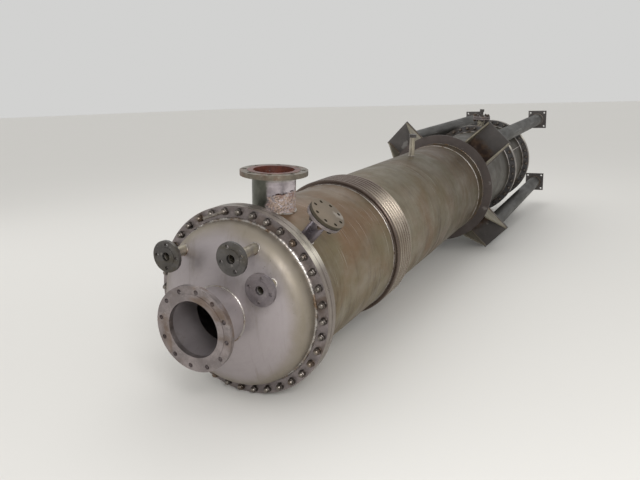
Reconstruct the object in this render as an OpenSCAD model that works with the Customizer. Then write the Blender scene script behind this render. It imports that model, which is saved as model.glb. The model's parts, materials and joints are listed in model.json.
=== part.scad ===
// Shell and tube heat exchanger, taken out of its plant and lying on the floor.
// It is drawn along its own axis first: s runs along the vessel from the joint
// face of the domed head towards the feet, and lying() sets it down on the
// floor. There it rests on the rim of the front girth flange and on the
// corners of its two lower support lugs.

/* [Shell] */
// Outer diameter of the shell
shell_od = 813; // [600:1:1100]
// Wall of the shell and of the dished ends
shell_wall = 8; // [5:0.5:14]
// Length of the front shell between its tubesheet and the bellows
front_len = 930; // [700:5:1300]
// Distance from the bellows to the rear tubesheet
main_len = 3210; // [2900:10:4500]
// Length of the rear channel between its two flanges
rear_len = 742; // [500:2:1200]

// Turn of all nozzles and bolt holes against the supports, to the right
nozzle_turn = 4; // [0:0.5:8]

/* [Dished ends] */
// Length of the straight collar of a dished end
collar_len = 28; // [15:1:60]
// Crown radius of a dished end, as a share of the shell diameter
crown_share = 1.0; // [0.9:0.05:1.2]
// Knuckle radius of a dished end, as a share of the shell diameter
knuckle_share = 0.1; // [0.08:0.01:0.16]

/* [Girth flanges] */
// Width of a girth flange from the shell to its rim
girth_rim = 65.5; // [50:0.5:90]
// Thickness of a girth flange and of a tubesheet
girth_t = 34; // [20:1:60]
// Distance from the rim to the middle of the bolt holes
girth_edge = 24.5; // [18:0.5:34]
// Number of girth bolts
girth_bolts = 36; // [24:4:48]
// Diameter of the girth bolt holes
girth_hole = 22; // [14:0.5:26]
// Thickness of a girth gasket
gasket_t = 3; // [2:0.5:6]
// Gap between the gasket's edge and the bolt holes
gasket_gap = 6; // [3:0.5:12]

/* [Bellows] */
// Number of convolutions of the expansion bellows
bellows_waves = 7; // [3:1:10]
// Length of one convolution
wave_pitch = 34; // [28:1:40]
// Height of a convolution above the shell
wave_height = 26; // [22:1:40]
// Outer radius of the rounding on a convolution's crest
crest_round = 11.5; // [8:0.5:12]
// Wall of the bellows
bellows_wall = 3; // [2:0.5:5]
// Length of the plain cuff at each end of the bellows
cuff_len = 11; // [6:1:40]
// Length of the ring that joins the bellows to the shell at each end
end_ring_len = 8; // [5:1:20]
// Height of that ring above the shell
end_ring_lip = 5; // [3:0.5:12]

/* [Top nozzle] */
// Distance of the top nozzle from the head's joint face
top_s = 306; // [280:2:600]
// Outer diameter of the top nozzle's pipe
top_od = 219.1; // [168.3:0.1:273]
// Wall of the top nozzle's pipe
top_wall = 6.3; // [4:0.1:10]
// Height of the top nozzle's face above the shell
top_stand = 194.5; // [150:0.5:340]
// Outer diameter of the top nozzle's flange
top_flange_od = 340; // [300:1:405]
// Thickness of the top nozzle's flange
top_flange_t = 26; // [18:1:40]
// Bolt circle of the top nozzle's flange
top_pcd = 295; // [265:1:355]
// Number of bolt holes in the top nozzle's flange
top_holes = 8; // [8:4:16]
// Diameter of the bolt holes in the top nozzle's flange
top_hole = 22; // [14:1:26]

/* [Angled nozzle] */
// Distance of the angled nozzle from the head's joint face
angled_s = 184; // [180:1:400]
// Angle of the angled nozzle above the horizontal
angled_angle = 51; // [30:1:60]
// Outer diameter of the angled nozzle's pipe
angled_od = 76.1; // [48.3:0.1:88.9]
// Wall of the angled nozzle's pipe
angled_wall = 4; // [2.5:0.1:6]
// Distance from the shell to the face of the angled nozzle's flange
angled_stand = 155.5; // [130:0.5:270]
// Outer diameter of the angled nozzle's flange
angled_flange_od = 185; // [165:1:200]
// Thickness of the angled nozzle's flange and of its blind cover
angled_flange_t = 18; // [14:1:28]
// Bolt circle of the angled nozzle's flange
angled_pcd = 145; // [125:1:160]
// Number of bolt holes in the angled nozzle's flange
angled_holes = 8; // [4:4:8]
// Diameter of the bolt holes in the angled nozzle's flange
angled_hole = 18; // [12:1:20]

/* [Head nozzles] */
// Distance of each small head nozzle from the vessel axis
head_nozzle_circles = [304, 352, 352]; // [280:1:354]
// Angle of each small head nozzle, from the right-hand side upwards
head_nozzle_angles = [36, 65.5, 134]; // [0:0.5:180]
// Distance of each small head nozzle's face in front of the joint face
head_nozzle_faces = [220, 285, 235]; // [215:1:340]
// Outer diameter of the small head nozzles' pipes
head_nozzle_od = 48.3; // [33.7:0.1:60.3]
// Wall of the small head nozzles' pipes
head_nozzle_wall = 3.2; // [2:0.1:5]
// Outer diameter of the small head nozzles' flanges
head_flange_od = 150; // [115:1:165]
// Thickness of the small head nozzles' flanges
head_flange_t = 18; // [14:1:24]
// Bolt circle of the small head nozzles' flanges
head_pcd = 110; // [85:1:125]
// Number of bolt holes in each small head nozzle's flange
head_holes = 4; // [4:4:8]
// Diameter of the bolt holes in the small head nozzles' flanges
head_hole = 18; // [12:1:20]

/* [Raised faces] */
// Height of the raised face on every nozzle flange
raised_h = 2; // [1:0.5:4]
// Gap between a raised face and the bolt holes
raised_gap = 2.5; // [1.5:0.5:8]

/* [Inlet] */
// Outer diameter of the inlet pipe in the middle of the domed head
inlet_od = 273; // [219.1:0.1:323.9]
// Wall of the inlet pipe
inlet_wall = 6.3; // [4:0.1:10]
// Distance of the inlet's face in front of the joint face
inlet_face = 366; // [340:1:600]
// Outer diameter of the inlet flange
inlet_flange_od = 395; // [340:1:445]
// Thickness of the inlet flange
inlet_flange_t = 26; // [18:1:40]
// Bolt circle of the inlet flange
inlet_pcd = 350; // [320:1:400]
// Number of bolt holes in the inlet flange
inlet_holes = 12; // [8:4:16]
// Diameter of the bolt holes in the inlet flange
inlet_hole = 22; // [14:1:26]

/* [Outlet] */
// Outer diameter of the outlet pipe in the middle of the rear head
outlet_od = 219.1; // [168.3:0.1:244.5]
// Wall of the outlet pipe
outlet_wall = 6.3; // [4:0.1:10]
// Length of the outlet from the rear dished end's crown to its face
outlet_len = 250; // [120:5:600]
// Outer diameter of the outlet flange
outlet_flange_od = 340; // [320:1:405]
// Thickness of the outlet flange
outlet_flange_t = 26; // [18:1:40]
// Bolt circle of the outlet flange
outlet_pcd = 295; // [285:1:315]
// Number of bolt holes in the outlet flange
outlet_holes = 8; // [8:4:12]
// Diameter of the bolt holes in the outlet flange
outlet_hole = 22; // [14:1:24]

/* [Vent and rear nozzle] */
// Distance of the vent from the head's joint face
vent_s = 2410; // [1700:5:2900]
// Outer diameter of the vent pipe
vent_od = 42.4; // [26.9:0.1:60.3]
// Wall of the vent pipe
vent_wall = 3.2; // [2:0.1:5]
// Height of the vent pipe above the shell
vent_len = 145; // [80:1:250]
// Diameter of the vent's cap
vent_cap_d = 60; // [50:1:90]
// Height of the vent's cap
vent_cap_h = 24; // [12:1:40]
// Distance of the rear nozzle behind the rear channel's flange
rear_nozzle_gap = 200; // [120:1:300]
// Height of the rear nozzle's face above the shell
rear_nozzle_stand = 133.5; // [110:0.5:240]
// Diameter of the plug in the rear nozzle's cover
plug_d = 34; // [20:1:48]
// Height of that plug above the cover, up to its head
plug_len = 48; // [20:1:90]
// Width of that plug's hexagon head across its corners
plug_head_d = 48; // [30:1:70]
// Height of that plug's head
plug_head_h = 26; // [12:1:40]

/* [Supports] */
// Distance of the support ring from the head's joint face
ring_s = 3252; // [2900:1:3700]
// Width of the support ring from the shell to its rim
ring_width = 82.5; // [50:0.5:140]
// Thickness of the support ring
ring_t = 16; // [10:1:30]
// Distance from the support ring's face to the lug plates
lug_depth = 240; // [120:1:300]
// Distance from the shell to the outer edge of a lug plate
lug_stand = 289.5; // [260:0.5:390]
// Width of a lug plate
lug_width = 288; // [240:1:340]
// Thickness of a lug plate
lug_t = 20; // [12:1:30]
// Distance between the middles of a lug's two gussets
gusset_spread = 264; // [190:1:280]
// Thickness of a gusset
gusset_t = 12; // [8:1:20]
// Number of support lugs, legs and feet
lugs = 4; // [4:1:4]

/* [Legs] */
// Distance from the shell to the middle of a leg
leg_stand = 168.5; // [165:0.5:190]
// Outer diameter of a leg
leg_od = 139.7; // [114.3:0.1:168.3]
// Wall of a leg
leg_wall = 5; // [3:0.1:10]
// Length of a leg
leg_len = 2750; // [2700:5:3500]
// Width of a foot plate
foot_w = 220; // [200:1:320]
// Thickness of a foot plate
foot_t = 20; // [12:1:30]
// Distance between the anchor holes of a foot plate
anchor_spread = 168; // [164:1:260]
// Diameter of the anchor holes
anchor_hole = 22; // [14:1:30]

/* [Hidden] */
$fn = 96;
shell_r = shell_od / 2;
bore_r = shell_r - shell_wall;
girth_r = shell_r + girth_rim;
top_face = shell_r + top_stand;
angled_face = shell_r + angled_stand;
rear_nozzle_face = shell_r + rear_nozzle_stand;
ring_od = shell_od + 2 * ring_width;
lug_reach = shell_r + lug_stand;
leg_circle = shell_r + leg_stand;
girth_bolt_r = girth_r - girth_edge;
gasket_r = girth_bolt_r - girth_hole / 2 - gasket_gap;
// Cutters run this far past what they cut
over = 5;
// Stations along the vessel, from the head's joint face at 0
head_s = 0;
front_gasket_s = head_s + girth_t;
front_tubesheet_s = front_gasket_s + gasket_t;
front_shell_s = front_tubesheet_s + girth_t;
bellows_s = front_shell_s + front_len;
bellows_len = 2 * cuff_len + bellows_waves * wave_pitch;
valley_round = wave_pitch / 2 - crest_round;
crest_x = shell_r + wave_height - crest_round;
valley_x = shell_r + valley_round;
main_s = bellows_s + bellows_len;
rear_tubesheet_s = main_s + main_len;
rear_gasket_s = rear_tubesheet_s + girth_t;
rear_channel_s = rear_gasket_s + gasket_t;
rear_end_s = rear_channel_s + girth_t + rear_len;
rear_end_gasket_s = rear_end_s + girth_t;
rear_head_flange_s = rear_end_gasket_s + gasket_t;
rear_head_s = rear_head_flange_s + girth_t;
// Dished ends: the crown sphere meets the knuckle at crown_x from the axis
crown_r = crown_share * shell_od;
knuckle_r = knuckle_share * shell_od;
knuckle_x = shell_r - knuckle_r;
crown_rise = sqrt(pow(crown_r - knuckle_r, 2) - pow(knuckle_x, 2));
dish_depth = crown_r - crown_rise;
tangent_angle = atan2(crown_rise, knuckle_x);
outlet_face_s = rear_head_s + collar_len + dish_depth + outlet_len;
// Supports
lug_s = ring_s + lug_depth;
leg_s = lug_s + lug_t;
foot_s = leg_s + leg_len;
feet_end_s = foot_s + foot_t;
rear_nozzle_s = rear_channel_s + girth_t + rear_nozzle_gap;
// How the vessel lies: on the rim of its front flange and on two lug corners
lug_corner_z = (lug_reach + lug_width / 2) * cos(45);
lay_angle = atan((lug_corner_z - girth_r) / lug_s);
axis_height = girth_r * cos(lay_angle);
foot_low_z = leg_circle * cos(45) + foot_w / 2;
front_reach = inlet_face * cos(lay_angle) + inlet_flange_od / 2 * sin(lay_angle);
rear_reach = feet_end_s * cos(lay_angle) + foot_low_z * sin(lay_angle);
middle_y = (rear_reach - front_reach) / 2;
stainless = [0.58, 0.54, 0.47];
satin = [0.68, 0.65, 0.66];
flange_grey = [0.44, 0.43, 0.43];
bright = [0.78, 0.76, 0.74];
gasket_black = [0.16, 0.16, 0.16];

// Sets the vessel down on the floor with its middle over the origin
module lying() {
    translate([0, -middle_y, axis_height])
        rotate([lay_angle, 0, 0])
            children();
}

// Turns a shape drawn on Z to the vessel axis, at station s
module axial(s) {
    translate([0, s, 0])
        rotate([-90, 0, 0])
            children();
}

// Turns a shape drawn on Z to a nozzle's radius of the vessel, at station s
module radial(s, angle) {
    translate([0, s, 0])
        rotate([0, 90 - angle + nozzle_turn, 0])
            children();
}

// A straight pipe that stands on Z
module pipe(od, wall, len) {
    difference() {
        cylinder(d = od, h = len);
        translate([0, 0, -over])
            cylinder(d = od - 2 * wall, h = len + 2 * over);
    }
}

// A round plate with a bolt circle and a raised face on top, and a bore where bore is over 0
module bolted_disc(od, t, pcd, holes, hole, bore) {
    difference() {
        union() {
            cylinder(d = od, h = t - raised_h);
            cylinder(d = pcd - hole - 2 * raised_gap, h = t);
        }
        if (bore > 0)
            translate([0, 0, -over])
                cylinder(d = bore, h = t + 2 * over);
        for (i = [0 : holes - 1])
            rotate([0, 0, (i + 0.5) * 360 / holes])
                translate([pcd / 2, 0, -over])
                    cylinder(d = hole, h = t + 2 * over, $fn = 32);
    }
}

// The cover of a flange, its raised face turned down onto the flange's at Z 0
module blind_cover(od, t, pcd, holes, hole) {
    translate([0, 0, t])
        mirror([0, 0, 1])
            bolted_disc(od, t, pcd, holes, hole, 0);
}

// Disc with the girth bolt holes, the first of them straight to the side
module girth_disc(s) {
    axial(s)
        difference() {
            cylinder(r = girth_r, h = girth_t);
            for (i = [0 : girth_bolts - 1])
                rotate([0, 0, i * 360 / girth_bolts + nozzle_turn])
                    translate([girth_bolt_r, 0, -over])
                        cylinder(d = girth_hole, h = girth_t + 2 * over, $fn = 32);
        }
}

// Ring flange that the shell or a dished end passes through
module girth_flange(s) {
    difference() {
        girth_disc(s);
        axial(s - over)
            cylinder(r = shell_r, h = girth_t + 2 * over);
    }
}

// Flat ring between two girth flanges
module girth_gasket(s) {
    axial(s)
        difference() {
            cylinder(r = gasket_r, h = gasket_t);
            translate([0, 0, -over])
                cylinder(r = bore_r, h = gasket_t + 2 * over);
        }
}

// Solid dished end of the given outer offset, crown towards -Z, rim at z = rim
module dished_solid(inset, rim) {
    rotate_extrude()
        intersection() {
            union() {
                translate([0, -collar_len])
                    square([shell_r - inset, collar_len + rim]);
                intersection() {
                    translate([0, crown_r - dish_depth - collar_len])
                        circle(r = crown_r - inset, $fn = 360);
                    translate([0, -collar_len - dish_depth])
                        square([crown_r * cos(tangent_angle), dish_depth]);
                }
                intersection() {
                    translate([knuckle_x, -collar_len])
                        circle(r = knuckle_r - inset, $fn = 180);
                    translate([knuckle_x, -collar_len - knuckle_r])
                        square([knuckle_r, knuckle_r]);
                }
                polygon([
                    [0, -collar_len],
                    [knuckle_x, -collar_len],
                    [crown_r * cos(tangent_angle), crown_r - dish_depth - collar_len - crown_r * sin(tangent_angle)],
                    [0, crown_r - dish_depth - collar_len - crown_r * sin(tangent_angle)]
                ]);
            }
            translate([0, -collar_len - dish_depth])
                square([shell_r, collar_len + dish_depth + rim]);
        }
}

// Dished end with its wall, open at the rim
module dished_end(rim) {
    difference() {
        dished_solid(0, rim);
        dished_solid(shell_wall, rim + over);
    }
}

// Where the small head nozzles stand, pointing out of the head
module at_head_nozzle(i) {
    rotate([0, nozzle_turn - head_nozzle_angles[i], 0])
        translate([head_nozzle_circles[i], 0, 0])
            rotate([90, 0, 0])
                children();
}

module domed_head() {
    color(satin)
        lying()
            difference() {
                axial(head_s)
                    dished_end(girth_t);
                for (i = [0 : len(head_nozzle_angles) - 1])
                    at_head_nozzle(i)
                        cylinder(d = head_nozzle_od - 2 * head_nozzle_wall, h = head_nozzle_faces[i]);
                rotate([90, 0, 0])
                    cylinder(d = inlet_od - 2 * inlet_wall, h = inlet_face);
            }
}

module head_nozzle_pipe(i) {
    color(bright)
        lying()
            difference() {
                at_head_nozzle(i)
                    pipe(head_nozzle_od, head_nozzle_wall, head_nozzle_faces[i] - head_flange_t);
                axial(head_s)
                    dished_solid(0, over);
            }
}

module head_nozzle_flange(i) {
    color(flange_grey)
        lying()
            at_head_nozzle(i)
                translate([0, 0, head_nozzle_faces[i] - head_flange_t])
                    bolted_disc(head_flange_od, head_flange_t, head_pcd, head_holes, head_hole,
                                head_nozzle_od - 2 * head_nozzle_wall);
}

module inlet_pipe() {
    color(satin)
        lying()
            difference() {
                rotate([90, 0, 0])
                    pipe(inlet_od, inlet_wall, inlet_face - inlet_flange_t);
                axial(head_s)
                    dished_solid(0, over);
            }
}

module inlet_flange() {
    color(flange_grey)
        lying()
            rotate([90, 0, 0])
                translate([0, 0, inlet_face - inlet_flange_t])
                    rotate([0, 0, nozzle_turn])
                        bolted_disc(inlet_flange_od, inlet_flange_t, inlet_pcd, inlet_holes, inlet_hole,
                                    inlet_od - 2 * inlet_wall);
}

module head_girth_flange() {
    color(flange_grey)
        lying()
            girth_flange(head_s);
}

module front_gasket() {
    color(gasket_black)
        lying()
            girth_gasket(front_gasket_s);
}

module front_tubesheet() {
    color(flange_grey)
        lying()
            girth_disc(front_tubesheet_s);
}

module front_shell() {
    color(stainless)
        lying()
            difference() {
                axial(front_shell_s)
                    pipe(shell_od, shell_wall, front_len);
                radial(top_s, 90)
                    cylinder(d = top_od - 2 * top_wall, h = shell_od);
                radial(angled_s, angled_angle)
                    cylinder(d = angled_od - 2 * angled_wall, h = shell_od);
            }
}

// Nozzle pipe that stands on the outside of the shell
module shell_nozzle_pipe(s, angle, od, wall, reach) {
    difference() {
        radial(s, angle)
            pipe(od, wall, reach);
        axial(s - od)
            cylinder(r = shell_r, h = 2 * od);
    }
}

module top_nozzle_pipe() {
    color(bright)
        lying()
            shell_nozzle_pipe(top_s, 90, top_od, top_wall, top_face - top_flange_t);
}

module top_nozzle_flange() {
    color(flange_grey)
        lying()
            radial(top_s, 90)
                translate([0, 0, top_face - top_flange_t])
                    bolted_disc(top_flange_od, top_flange_t, top_pcd, top_holes, top_hole, top_od - 2 * top_wall);
}

module angled_nozzle_pipe() {
    color(bright)
        lying()
            shell_nozzle_pipe(angled_s, angled_angle, angled_od, angled_wall, angled_face - angled_flange_t);
}

module angled_nozzle_flange() {
    color(flange_grey)
        lying()
            radial(angled_s, angled_angle)
                translate([0, 0, angled_face - angled_flange_t])
                    bolted_disc(angled_flange_od, angled_flange_t, angled_pcd, angled_holes, angled_hole,
                                angled_od - 2 * angled_wall);
}

module angled_nozzle_blind() {
    color(stainless)
        lying()
            radial(angled_s, angled_angle)
                translate([0, 0, angled_face])
                    blind_cover(angled_flange_od, angled_flange_t, angled_pcd, angled_holes, angled_hole);
}

// Ring over the seam between the shell and a cuff of the bellows
module bellows_ring(s) {
    color(bright)
        lying()
            axial(s)
                pipe(shell_od + 2 * end_ring_lip, end_ring_lip, end_ring_len);
}

// Half of a valley's rounding: side 1 lies after the station z, side -1 before it
module half_valley(z, side, inset) {
    round = valley_round + inset;
    difference() {
        translate([0, side > 0 ? z : z - round])
            square([valley_x, round]);
        translate([valley_x, z])
            circle(r = round);
    }
}

// Solid profile of the bellows, inset by its wall for the hollow, run past both ends by past
module bellows_profile(inset, past) {
    translate([0, -past])
        square([shell_r - inset, bellows_len + 2 * past]);
    for (i = [0 : bellows_waves - 1]) {
        start = cuff_len + i * wave_pitch;
        translate([0, start + valley_round + inset])
            square([crest_x, 2 * (crest_round - inset)]);
        translate([crest_x, start + wave_pitch / 2])
            circle(r = crest_round - inset);
        half_valley(start, 1, inset);
        half_valley(start + wave_pitch, -1, inset);
    }
}

module expansion_bellows() {
    color(bright)
        lying()
            axial(bellows_s)
                rotate_extrude()
                    difference() {
                        bellows_profile(0, 0);
                        bellows_profile(bellows_wall, over);
                    }
}

module main_shell() {
    color(stainless)
        lying()
            difference() {
                axial(main_s)
                    pipe(shell_od, shell_wall, main_len);
                radial(vent_s, 90)
                    cylinder(d = vent_od - 2 * vent_wall, h = shell_od);
            }
}

module vent_pipe() {
    color(stainless)
        lying()
            shell_nozzle_pipe(vent_s, 90, vent_od, vent_wall, shell_r + vent_len);
}

module vent_cap() {
    color(flange_grey)
        lying()
            radial(vent_s, 90)
                translate([0, 0, shell_r + vent_len])
                    cylinder(d = vent_cap_d, h = vent_cap_h, $fn = 6);
}

module support_ring() {
    color(flange_grey)
        lying()
            axial(ring_s)
                difference() {
                    cylinder(d = ring_od, h = ring_t);
                    translate([0, 0, -over])
                        cylinder(r = shell_r, h = ring_t + 2 * over);
                }
}

// Turns X to the middle of support number i
module at_support(i) {
    rotate([0, -(45 + (i - 1) * 360 / lugs), 0])
        children();
}

module lug_plate(i) {
    color(flange_grey)
        lying()
            difference() {
                at_support(i)
                    translate([0, lug_s, -lug_width / 2])
                        cube([lug_reach, lug_t, lug_width]);
                axial(lug_s - over)
                    cylinder(r = shell_r, h = lug_t + 2 * over);
            }
}

// One gusset: upright between the support ring and the lug plate
module gusset_shape() {
    polygon([
        [0, ring_s + ring_t],
        [ring_od / 2, ring_s + ring_t],
        [lug_reach - gusset_t / 2, lug_s],
        [0, lug_s]
    ]);
}

module lug_gussets(i) {
    color(flange_grey)
        lying()
            difference() {
                at_support(i)
                    for (side = [-1, 1])
                        translate([0, 0, side * gusset_spread / 2 - gusset_t / 2])
                            linear_extrude(gusset_t)
                                gusset_shape();
                axial(ring_s - over)
                    cylinder(r = shell_r, h = lug_depth + 2 * over);
            }
}

module leg(i) {
    color(satin)
        lying()
            at_support(i)
                translate([leg_circle, leg_s, 0])
                    rotate([-90, 0, 0])
                        pipe(leg_od, leg_wall, leg_len);
}

module foot_plate(i) {
    angle = 45 + (i - 1) * 360 / lugs;
    color(flange_grey)
        lying()
            translate([leg_circle * cos(angle), foot_s, leg_circle * sin(angle)])
                difference() {
                    translate([-foot_w / 2, 0, -foot_w / 2])
                        cube([foot_w, foot_t, foot_w]);
                    for (x = [-1, 1], z = [-1, 1])
                        translate([x * anchor_spread / 2, -over, z * anchor_spread / 2])
                            rotate([-90, 0, 0])
                                cylinder(d = anchor_hole, h = foot_t + 2 * over, $fn = 32);
                }
}

module rear_tubesheet() {
    color(flange_grey)
        lying()
            girth_disc(rear_tubesheet_s);
}

module rear_gasket() {
    color(gasket_black)
        lying()
            girth_gasket(rear_gasket_s);
}

module rear_channel_flange() {
    color(flange_grey)
        lying()
            girth_flange(rear_channel_s);
}

module rear_channel() {
    color(stainless)
        lying()
            difference() {
                axial(rear_channel_s)
                    pipe(shell_od, shell_wall, 2 * girth_t + rear_len);
                radial(rear_nozzle_s, 90)
                    cylinder(d = angled_od - 2 * angled_wall, h = shell_od);
            }
}

module rear_nozzle_pipe() {
    color(bright)
        lying()
            shell_nozzle_pipe(rear_nozzle_s, 90, angled_od, angled_wall, rear_nozzle_face - angled_flange_t);
}

module rear_nozzle_flange() {
    color(flange_grey)
        lying()
            radial(rear_nozzle_s, 90)
                translate([0, 0, rear_nozzle_face - angled_flange_t])
                    bolted_disc(angled_flange_od, angled_flange_t, angled_pcd, angled_holes, angled_hole,
                                angled_od - 2 * angled_wall);
}

module rear_nozzle_blind() {
    color(flange_grey)
        lying()
            radial(rear_nozzle_s, 90)
                translate([0, 0, rear_nozzle_face])
                    blind_cover(angled_flange_od, angled_flange_t, angled_pcd, angled_holes, angled_hole);
}

// Screwed plug with a hexagon head that stands on the rear nozzle's cover
module rear_nozzle_plug() {
    color(flange_grey)
        lying()
            radial(rear_nozzle_s, 90)
                translate([0, 0, rear_nozzle_face + angled_flange_t]) {
                    cylinder(d = plug_d, h = plug_len);
                    translate([0, 0, plug_len])
                        cylinder(d = plug_head_d, h = plug_head_h, $fn = 6);
                }
}

module rear_end_flange() {
    color(flange_grey)
        lying()
            girth_flange(rear_end_s);
}

module rear_end_gasket() {
    color(gasket_black)
        lying()
            girth_gasket(rear_end_gasket_s);
}

module rear_head_flange() {
    color(flange_grey)
        lying()
            girth_flange(rear_head_flange_s);
}

// Turns a dished end's crown towards the feet
module rear_dished(s) {
    axial(s)
        mirror([0, 0, 1])
            children();
}

module rear_head() {
    color(satin)
        lying()
            difference() {
                rear_dished(rear_head_s)
                    dished_end(girth_t);
                axial(rear_head_s)
                    cylinder(d = outlet_od - 2 * outlet_wall, h = outlet_face_s - rear_head_s);
            }
}

module outlet_pipe() {
    color(satin)
        lying()
            difference() {
                axial(rear_head_s)
                    pipe(outlet_od, outlet_wall, outlet_face_s - rear_head_s - outlet_flange_t);
                rear_dished(rear_head_s)
                    dished_solid(0, over);
            }
}

module outlet_flange() {
    color(flange_grey)
        lying()
            axial(outlet_face_s - outlet_flange_t)
                rotate([0, 0, nozzle_turn])
                    bolted_disc(outlet_flange_od, outlet_flange_t, outlet_pcd, outlet_holes, outlet_hole,
                                outlet_od - 2 * outlet_wall);
}

domed_head();
head_girth_flange();
front_gasket();
front_tubesheet();
front_shell();
bellows_ring(bellows_s - end_ring_len / 2);  // bellows_ring_front
expansion_bellows();
bellows_ring(main_s - end_ring_len / 2);  // bellows_ring_back
main_shell();
top_nozzle_pipe();
top_nozzle_flange();
angled_nozzle_pipe();
angled_nozzle_flange();
angled_nozzle_blind();
head_nozzle_pipe(0);  // head_nozzle_pipe_1
head_nozzle_flange(0);  // head_nozzle_flange_1
head_nozzle_pipe(1);  // head_nozzle_pipe_2
head_nozzle_flange(1);  // head_nozzle_flange_2
head_nozzle_pipe(2);  // head_nozzle_pipe_3
head_nozzle_flange(2);  // head_nozzle_flange_3
inlet_pipe();
inlet_flange();
vent_pipe();
vent_cap();
support_ring();
lug_plate(1);  // lug_plate_1
lug_plate(2);  // lug_plate_2
lug_plate(3);  // lug_plate_3
lug_plate(4);  // lug_plate_4
lug_gussets(1);  // lug_gussets_1
lug_gussets(2);  // lug_gussets_2
lug_gussets(3);  // lug_gussets_3
lug_gussets(4);  // lug_gussets_4
leg(1);  // leg_1
leg(2);  // leg_2
leg(3);  // leg_3
leg(4);  // leg_4
foot_plate(1);  // foot_plate_1
foot_plate(2);  // foot_plate_2
foot_plate(3);  // foot_plate_3
foot_plate(4);  // foot_plate_4
rear_tubesheet();
rear_gasket();
rear_channel_flange();
rear_channel();
rear_nozzle_pipe();
rear_nozzle_flange();
rear_nozzle_blind();
rear_nozzle_plug();
rear_end_flange();
rear_end_gasket();
rear_head_flange();
rear_head();
outlet_pipe();
outlet_flange();
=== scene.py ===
"""Looks of a shell and tube heat exchanger, taken out of its plant and lying on the floor."""
import json
import math

import bpy
from mathutils import Matrix, Vector
from mathutils.bvhtree import BVHTree


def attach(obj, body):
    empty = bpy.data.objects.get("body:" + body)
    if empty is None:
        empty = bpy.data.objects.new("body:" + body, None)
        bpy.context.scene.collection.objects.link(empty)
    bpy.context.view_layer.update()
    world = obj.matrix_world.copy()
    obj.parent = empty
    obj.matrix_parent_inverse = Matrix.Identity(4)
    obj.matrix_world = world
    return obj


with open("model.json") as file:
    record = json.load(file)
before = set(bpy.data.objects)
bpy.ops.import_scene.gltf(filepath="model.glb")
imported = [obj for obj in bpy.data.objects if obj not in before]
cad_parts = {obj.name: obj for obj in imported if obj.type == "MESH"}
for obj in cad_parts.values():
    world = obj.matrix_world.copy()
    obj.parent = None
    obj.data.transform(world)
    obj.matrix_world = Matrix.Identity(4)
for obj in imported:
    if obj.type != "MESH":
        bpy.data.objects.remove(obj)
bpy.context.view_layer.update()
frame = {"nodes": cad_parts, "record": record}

bl_info = {
    "name": "Heat exchanger looks",
    "version": (1, 0, 0),
    "blender": (4, 5, 0),
    "location": "3D View > Sidebar > Exchanger",
    "description": "Bolts, welds and steel finishes for a shell and tube heat exchanger",
    "category": "Object",
}

MOUNTS = {mount["name"]: mount for mount in frame["record"]["mounts"]}


# The vessel's own axes: X to its right, Y along it from the front joint face, Z up

def vessel_axes():
    """Matrix from the vessel's own axes to the row's."""
    along = -Vector(MOUNTS["inlet_bolts"]["axis"]).normalized()
    right = Vector((1, 0, 0))
    upright = right.cross(along)
    turn = Matrix((right, along, upright)).transposed().to_4x4()
    face = Vector(MOUNTS["inlet_bolts"]["pos_m"])
    lowest = min((v.co - face).dot(along) for v in frame["nodes"]["head_girth_flange"].data.vertices)
    return Matrix.Translation(face + along * lowest) @ turn


LYING = vessel_axes()
UPRIGHT = LYING.inverted()
RIGHT, ALONG, UPWARD = Vector((1, 0, 0)), Vector((0, 1, 0)), Vector((0, 0, 1))


def corners(node):
    """A node's points on the vessel's own axes."""
    return [UPRIGHT @ v.co for v in frame["nodes"][node].data.vertices]


def reach(node):
    """Lowest and highest corner of a node along the vessel's own axes."""
    points = corners(node)
    return (Vector([min(p[k] for p in points) for k in range(3)]),
            Vector([max(p[k] for p in points) for k in range(3)]))


def span_along(direction, *nodes):
    """Where nodes start and end along a direction."""
    rises = [point.dot(direction) for node in nodes for point in corners(node)]
    return min(rises), max(rises)


def outward(angle):
    """Direction away from the vessel's axis at an angle from its right."""
    return Vector((math.cos(angle), 0, math.sin(angle)))


def heading(mount):
    """A mount's place and outward direction along the vessel's own axes."""
    place = UPRIGHT @ Vector(MOUNTS[mount]["pos_m"])
    return place, (UPRIGHT.to_3x3() @ Vector(MOUNTS[mount]["axis"])).normalized()


SHELL_RADIUS = reach("main_shell")[1].x
GIRTH_RADIUS = reach("head_girth_flange")[1].x
GIRTH_BOLTS = 36
BOLT_CIRCLE = GIRTH_RADIUS - 0.0245
COVER_BOLTS = 8
COVER_CIRCLE = 0.0725
TOP_PLACE, TOP_DIRECTION = heading("top_nozzle_bolts")
TOP_BORE = 0.10325
NOZZLE_TURN = math.radians(90) - math.atan2(TOP_DIRECTION.z, TOP_DIRECTION.x)
LONG_STUD_ANGLE = math.radians(92)
NUMBERS = range(1, 5)


def tone(red, green, blue):
    """Linear colour of a paint chip read as 0 to 255."""
    return tuple(c / 255 / 12.92 if c <= 10 else ((c / 255 + 0.055) / 1.055) ** 2.4
                 for c in (red, green, blue))


def colour(label, note, chip):
    return bpy.props.FloatVectorProperty(name=label, description=note, subtype="COLOR", size=3,
                                         min=0, max=1, default=tone(*chip))


def length(label, note, value):
    return bpy.props.FloatProperty(name=label, description=note, default=value, min=0, unit="LENGTH")


def number(label, note, value, lowest):
    return bpy.props.FloatProperty(name=label, description=note, default=value, min=lowest)


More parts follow.
